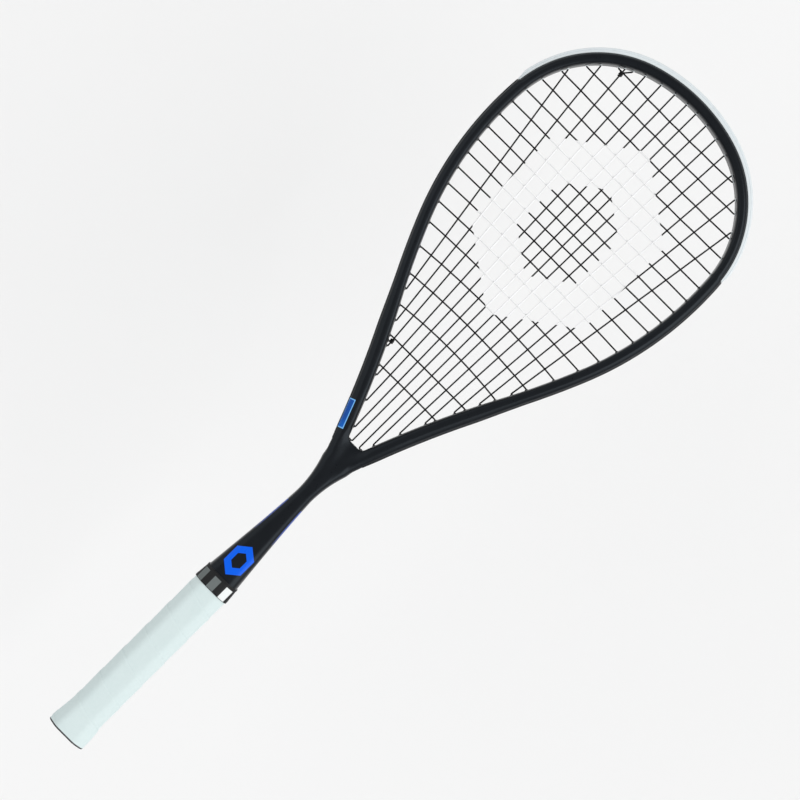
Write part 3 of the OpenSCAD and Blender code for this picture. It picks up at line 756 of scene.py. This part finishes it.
def strip_section(s):
    w, f = tube_width(s) + FIT / 2, floor_at(s) + FIT
    r = STRIP_RISE * (0.4 + 0.6 * ease((s[0] - STRIP_END_X) / 12))
    inner = [(f, 0.6), (f, 3.25), (w, 3.35), (w, 4.9)]
    outer = [(w + 0.4 * r, 5.05), (w + 0.8 * r, 4.98), (w + r, 4.7), (w + r, 3.1), (w + 0.8 * r, 2.85),
             (w + 0.3 * r, 2.75), (f + 1.1, 2.7), (f + 0.85, 2.55), (f + STRIP_BASE, 2.2),
             (f + STRIP_BASE, 0.6)]
    return closed_band(inner, outer)


def under_guard(hole):
    return hole[0][0] > GUARD_END_X


def guard_data():
    end = station_at_x(GUARD_END_X + 0.4)
    stations = [mirrored(end), *whole_hoop(lambda x: x > GUARD_END_X + 1), end]
    holes = [h for side in (-1, 1) for h in all_holes(side) if under_guard(h)]
    return joined([swept(stations, guard_section)] + [barrel_data(h) for h in holes])


def strip_data(side):
    half = [station_at_x(GUARD_END_X - 0.4)]
    half += [s for s in half_hoop() if STRIP_END_X + 0.5 < s[0] < GUARD_END_X - 1]
    half += [station_at_x(STRIP_END_X)]
    stations = half if side > 0 else [mirrored(s) for s in reversed(half)]
    holes = [h for h in all_holes(side) if not under_guard(h)]
    return joined([swept(stations, strip_section)] + [barrel_data(h) for h in holes])


# ---------- string ----------

WEAVE = 0.67
SIDE_MAINS = len(MAINS)
COLUMNS = 2 * SIDE_MAINS  # the mains, numbered from the outermost on +Y
LAST_CROSS = len(CROSSES) - 1
TIED_COLUMN = 2
KNOT_GAP = 3.4
TURNED_COLUMNS = (0, 2, 10, 12)  # after these the string bends with the groove to the next hole


def unit(v):
    return v / np.linalg.norm(v)


def pass_out(hole):
    """Where the string bends in the groove behind a hole."""
    return out(hole[0], lane_out(hole[0]), hole[1])


def pass_in(hole):
    """Where the string bends inside the head, in front of a hole."""
    return out(hole[0], -hole[2] - MIDDLE_BEND_IN if hole[2] else -BEND_IN, hole[1])


def column_side(c):
    return 1 if c < SIDE_MAINS else -1


def column_main(c):
    return SIDE_MAINS - 1 - c if c < SIDE_MAINS else c - SIDE_MAINS


def column_holes(c):
    side, main = column_side(c), column_main(c)
    return throat_holes(side)[main], tip_holes(side)[main]


def main_y(c, x):
    """The y of the main in column c at x."""
    a, b = (pass_in(h) for h in column_holes(c))
    return a[1] + (b[1] - a[1]) * (x - a[0]) / (b[0] - a[0])


def cross_x(j, y):
    """The x of cross j at y."""
    end = pass_in(cross_holes(1)[j])
    return end[0] + CROSSES[j][1] * (1 - (y / end[1]) ** 2)


def crossing(c, j):
    y = main_y(c, cross_x(j, main_y(c, CROSSES[j][0])))
    return cross_x(j, y), y


def over(c, j):
    """The height of the main in column c where it meets cross j."""
    return WEAVE if (c + j) % 2 == 0 else -WEAVE


def crosses_main(c, j):
    throat, tip = (pass_in(h) for h in column_holes(c))
    return throat[0] + 2 < CROSSES[j][0] < tip[0] - 2


def run(a, b, inner):
    """From hole to hole through the inner points, with a short step after each bend."""
    p, q = pass_in(a), pass_in(b)
    inner = [np.array(k) for k in inner]
    step = 1.2
    near = p + unit(inner[0] - p) * step
    far = q + unit(inner[-1] - q) * step
    return [pass_out(a), p, near] + inner + [far, q, pass_out(b)]


def main_run(c):
    a, b = column_holes(c)
    crossed = [j for j in range(LAST_CROSS, -1, -1) if crosses_main(c, j)]
    return run(a, b, [(*crossing(c, j), over(c, j)) for j in crossed])


def cross_run(j):
    crossed = [c for c in range(COLUMNS) if crosses_main(c, j)]
    return run(cross_holes(1)[j], cross_holes(-1)[j],
               [(*crossing(c, j), -over(c, j)) for c in crossed])


def groove_run(x1, x2, side, lane, steps=1):
    """Points in the groove between two holes, in a lane."""
    found = []
    for k in range(1, steps + 1):
        s = on_side(station_at_x(x1 + (x2 - x1) * k / (steps + 1)), side)
        found.append(out(s, lane_out(s), lane))
    return found


def knot(hole, j, drop, turn):
    """Two turns of the string's end round a main, beside the frame."""
    a = pass_in(hole)
    m = unit(np.array([*crossing(TIED_COLUMN, j), 0]) - np.array([a[0], a[1], 0]))
    side, centre = np.array([-m[1], m[0], 0]), a + m * KNOT_GAP + np.array([0, 0, drop])
    points_per_turn, advance, tail = 8, 0.165, 1.5
    found = []
    for k in range(2 * points_per_turn + 1):
        t = math.radians(90 + 360 / points_per_turn * k)
        radial = math.cos(t) * side + turn * math.sin(t) * np.array([0, 0, 1.0])
        found.append(centre + m * k * advance + radial * (2 * STRING_R + 0.06))
    last = unit((found[-1] - found[-2]) * np.array([1, 1, 0]))
    return found + [found[-1] + last * tail]


def route():
    """The whole string, from its knot at the throat to its knot at the tip."""
    throat_hole, tip_hole = column_holes(TIED_COLUMN)
    throat_x, tip_x = [x for _, x in MAINS], [station_at_y(y)[0] for y, _ in MAINS]
    path = knot(throat_hole, LAST_CROSS - 1, -0.05, 1)[::-1]
    path += [pass_in(THROAT_TIE), pass_out(THROAT_TIE)]
    path += groove_run(THROAT_TIE_X, throat_x[-1], 1, TAIL_LANE, 3)
    for c in range(COLUMNS):
        path += main_run(c) if c % 2 == 0 else main_run(c)[::-1]
        side, a, b = column_side(c), column_main(c), column_main(c + 1)
        if c in TURNED_COLUMNS:
            path += groove_run(tip_x[a], tip_x[b], side, MAIN_LANE, 3)
        elif c % 2 == 1 and c < COLUMNS - 1:
            path += groove_run(throat_x[a], throat_x[b], side, MAIN_LANE)
    path += groove_run(throat_x[-1], CROSSES[-1][0] + 12, -1, TAIL_LANE, 3)
    for j in range(LAST_CROSS, -1, -1):
        path += cross_run(j)[::-1] if j % 2 == 0 else cross_run(j)
        if j:
            side = 1 if j % 2 == 0 else -1
            path += groove_run(CROSSES[j][0], CROSSES[j - 1][0], side, CROSS_LANE)
    path += [pass_out(TIP_TIE), pass_in(TIP_TIE)]
    return path + knot(tip_hole, 1, -0.1, -1)


def bend(start, corner, end):
    """Six points on a smooth bend from start to end that bows towards the corner."""
    return [(1 - t) ** 2 * start + 2 * t * (1 - t) * corner + t * t * end
            for t in np.linspace(0, 1, 6)]


def rounded(points):
    """The path with its sharp bends rounded and its long spans eased from height to height."""
    reach, sharp, longest = 1.1, math.cos(math.radians(16)), 1.7
    p = [np.array(q, float) for q in points]
    path = [p[0]]
    for i in range(1, len(p) - 1):
        before, after = p[i] - p[i - 1], p[i + 1] - p[i]
        lb, la = np.linalg.norm(before), np.linalg.norm(after)
        if before @ after < sharp * lb * la:
            a = p[i] - before / lb * min(reach, lb / 2)
            b = p[i] + after / la * min(reach, la / 2)
            path += bend(a, p[i], b)
        else:
            path.append(p[i])
    path.append(p[-1])
    path = [q for i, q in enumerate(path) if i == 0 or np.linalg.norm(q - path[i - 1]) > 1e-3]
    dense = [path[0]]
    for a, b in zip(path, path[1:]):
        steps = max(1, math.ceil(np.linalg.norm(b - a) / longest))
        for k in range(1, steps + 1):
            t = k / steps
            q = a + (b - a) * t
            q[2] = a[2] + (b[2] - a[2]) * ease(t)
            dense.append(q)
    return np.array(dense)


def string_data(path):
    """A round sweep whose rings are carried along the path without twisting."""
    step = np.diff(path, axis=0)
    step /= np.linalg.norm(step, axis=1)[:, None]
    tangents = np.vstack([step[:1], step[:-1] + step[1:], step[-1:]])
    tangents /= np.linalg.norm(tangents, axis=1)[:, None]
    normal = unit(np.cross(tangents[0], [0.0, 0.0, 1.0]))
    angles = np.linspace(0, 2 * math.pi, 11)[:-1]
    rings = []
    for point, t in zip(path, tangents):
        normal = unit(normal - t * (normal @ t))
        other = np.cross(t, normal)
        rings.append([point + STRING_R * (math.cos(a) * normal + math.sin(a) * other) for a in angles])
    return loft_data(rings)


# ---------- handle ----------

CAP_RIM = 1.3
GRIP_START_X, GRIP_END_X = CAP_RIM + FIT, 157.0
BUTT_HALF_WIDTH, BUTT_HALF_DEPTH = 17.1, 15.4
PLUG_R = 9.0


def octagon(a, b, soft):
    """A handle's section: eight faces with rounded edges, as (y, z)."""
    corners = [(a, 0.52 * b), (0.56 * a, b), (-0.56 * a, b), (-a, 0.52 * b),
               (-a, -0.52 * b), (-0.56 * a, -b), (0.56 * a, -b), (a, -0.52 * b)]
    found = []
    for i, corner in enumerate(corners):
        p, before, after = (np.array(v, float) for v in (corner, corners[i - 1], corners[(i + 1) % 8]))
        start, end = p + unit(before - p) * soft, p + unit(after - p) * soft
        next_start = after + unit(p - after) * soft
        found += bend(start, p, end)
        found += [end + (next_start - end) * t for t in (0.2, 0.4, 0.6, 0.8)]
    return found


def octagon_rings(stations, soft):
    """Rings from (x, half width, half depth) rows."""
    return [[(x, -y, z) for y, z in octagon(a, b, soft)] for x, a, b in stations]


def between_rows(rows, x):
    """The half width and half depth at x, eased between the rows on either side of it."""
    (x0, *p), (x1, *q) = next(pair for pair in zip(rows, rows[1:]) if x <= pair[1][0])
    t = ease((x - x0) / (x1 - x0))
    return [u + (v - u) * t for u, v in zip(p, q)]


GRIP_ROWS = [(GRIP_START_X, BUTT_HALF_WIDTH, BUTT_HALF_DEPTH), (5.0, BUTT_HALF_WIDTH, BUTT_HALF_DEPTH),
             (26, 15.35, 14.05), (GRIP_END_X, 15.2, 13.9)]


def strap_height(x, angle):
    """How the wound strap stands above the mean grip surface: each turn laps over the last."""
    phase = (x / GRIP_PITCH - angle / (2 * math.pi)) % 1.0
    slope = 0.34 * (phase - 0.5)
    lap = 0.08 * math.exp(-((phase - 0.94) / 0.06) ** 2)
    groove = -0.08 * math.exp(-(min(phase, 1 - phase) / 0.02) ** 2)
    return slope + lap + groove


def grip_data():
    """The wound strap as one skin, whose laps fade out at the cap's rim and under the collar."""
    rings = []
    for x in np.arange(GRIP_START_X, GRIP_END_X, 0.4):
        a, b = between_rows(GRIP_ROWS, x)
        at_ends = ease((x - CAP_RIM) / 3) * ease((GRIP_END_X + 0.5 - x) / 2.5)
        ring = []
        for y, z in octagon(a, b, 3.2):
            swell = 1 + strap_height(x, math.atan2(-y, z)) * at_ends / math.hypot(y, z)
            ring.append((x, -y * swell, z * swell))
        rings.append(ring)
    return loft_data(rings)


def collar_data():
    """The rubber collar, from its lip over the grip's end to the bead round the shaft."""
    rows = [(-1.5, 15.35, 14.05), (-1.5, 15.8, 14.5), (-1.2, 16.05, 14.75), (0.4, 16.05, 14.75),
            (0.8, 15.95, 14.65), (3, 15.75, 14.4), (6, 15.5, 14.1), (9, 15.2, 13.5),
            (10.4, 15.05, 13.2), (10.7, 15.2, 13.35), (11.4, 15.2, 13.3), (11.7, 15.0, 13.1),
            (11.7, 13.9, 12.2)]
    stations = [(GRIP_END_X + past_grip, a, b) for past_grip, a, b in rows]
    return loft_data(octagon_rings(stations, 3.0), capped=False)


def cap_data():
    """The butt cap's end face and rim: a plain sunk band runs round the plug's hole."""
    insets = [(0.0, 0.75), (0.05, 0.4), (0.25, 0.12), (0.5, 0), (1.0, 0), (1.25, 0.1),
              (GRIP_START_X, 0.5), (GRIP_START_X, 1.6)]
    rim = octagon_rings([(x, BUTT_HALF_WIDTH - d, BUTT_HALF_DEPTH - d) for x, d in insets], 3.2)
    edge = [np.array(p[1:]) for p in rim[0]]
    hole = [[(x, *(unit(p) * r)) for p in edge] for x, r in ((0.9, PLUG_R + 0.05), (0.0, PLUG_R + 0.2))]
    band = [[(x, *(p * scale)) for p in edge]
            for x, scale in ((0.0, 0.72), (0.3, 0.74), (0.3, 0.88), (0.0, 0.9))]
    return loft_data(hole + band + rim)


def plug_data():
    """The round plug, with a plain sunk ring and a small dimple in its face."""
    profile = [(0.9, PLUG_R - 0.02), (0.2, PLUG_R - 0.02), (0.05, 8.85), (0.0, 8.6), (0.0, 7.2),
               (0.25, 7.0), (0.25, 4.6), (0.0, 4.4), (0.0, 1.6), (0.15, 1.4), (0.15, 0.05)]
    angles = np.linspace(0, 2 * math.pi, 65)[:-1]
    return loft_data([[(x, -r * math.cos(t), r * math.sin(t)) for t in angles] for x, r in profile])


# ---------- assembly ----------

hoop = loft_data([tube_ring(s) for s in whole_hoop(lambda x: x > JOIN_X)])
piece("frame_tube", joined([hoop, throat_data()]), frame_material(), ["frame"], 50)
piece("tip_guard", guard_data(), guard_material(), ["bumper_guard"])
black_nylon = nylon_material()
piece("side_strip_left", strip_data(1), black_nylon, ["grommet_strip_left"])
piece("side_strip_right", strip_data(-1), black_nylon, ["grommet_strip_right"])
piece("string_bed", string_data(rounded(route())), string_material(), ["string"], 60)
piece("wound_grip", grip_data(), grip_material(), ["grip"], 60)
piece("end_collar", collar_data(), collar_material(), ["collar"])
cap_plastic = cap_material()
piece("cap_rim", cap_data(), cap_plastic, ["butt_cap"], 35)
piece("cap_plug", plug_data(), cap_plastic, ["butt_plug"], 35)
foam = foam_material()
for node, material in (("handle_front", foam), ("handle_back", foam), ("butt_staples", steel_material())):
    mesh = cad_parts[node].data
    mesh.materials.clear()
    mesh.materials.append(material)

# ---------- stage ----------

FLOOR_DROP = 400.0
FLOOR_HALF = 30000.0
corners = [(a * FLOOR_HALF, b * FLOOR_HALF, 0) for a, b in ((-1, -1), (1, -1), (1, 1), (-1, 1))]
floor = new_object("floor", mesh_from("floor", (corners, [(0, 1, 2, 3)], [])))
floor.location.z = cad_box[0][2] - FLOOR_DROP * MM
paper = Shader("pale_paper", (0.83, 0.83, 0.83), 0.9)
paper.color(paper.mix(paper.noise(0.004, 2), (0.827, 0.828, 0.828), (0.833, 0.834, 0.834)))
floor.data.materials.append(paper.finish())

world = bpy.data.worlds.new("soft_sky")
bpy.context.scene.world = world
world.use_nodes = True
sky = world.node_tree.nodes["Background"].inputs
sky["Color"].default_value = (1, 1, 1, 1)
sky["Strength"].default_value = 0.5


def soft_sun(name, azimuth, elevation, strength, width):
    """A broad, distant light that stands at an azimuth from +X and at an elevation, in degrees."""
    light = bpy.data.lights.new(name, "SUN")
    light.energy, light.angle = strength, math.radians(width)
    obj = bpy.data.objects.new(name, light)
    bpy.context.scene.collection.objects.link(obj)
    a, e = math.radians(azimuth), math.radians(elevation)
    towards = Vector((math.cos(a) * math.cos(e), math.sin(a) * math.cos(e), math.sin(e)))
    obj.rotation_euler = towards.to_track_quat("Z", "Y").to_euler()


soft_sun("key", -72, 44, 2.05, 60)
soft_sun("fill", 100, 40, 0.8, 70)

camera = bpy.data.objects.new("camera", bpy.data.cameras.new("camera"))
bpy.context.scene.collection.objects.link(camera)
camera.data.lens, camera.data.sensor_width = 105.7, 36.0
camera.location = (358.8 * MM, 0, 1789.0 * MM)
camera.rotation_euler = (0, 0, math.radians(-44.93))
bpy.context.scene.camera = camera
bpy.context.scene.view_settings.view_transform = "Standard"
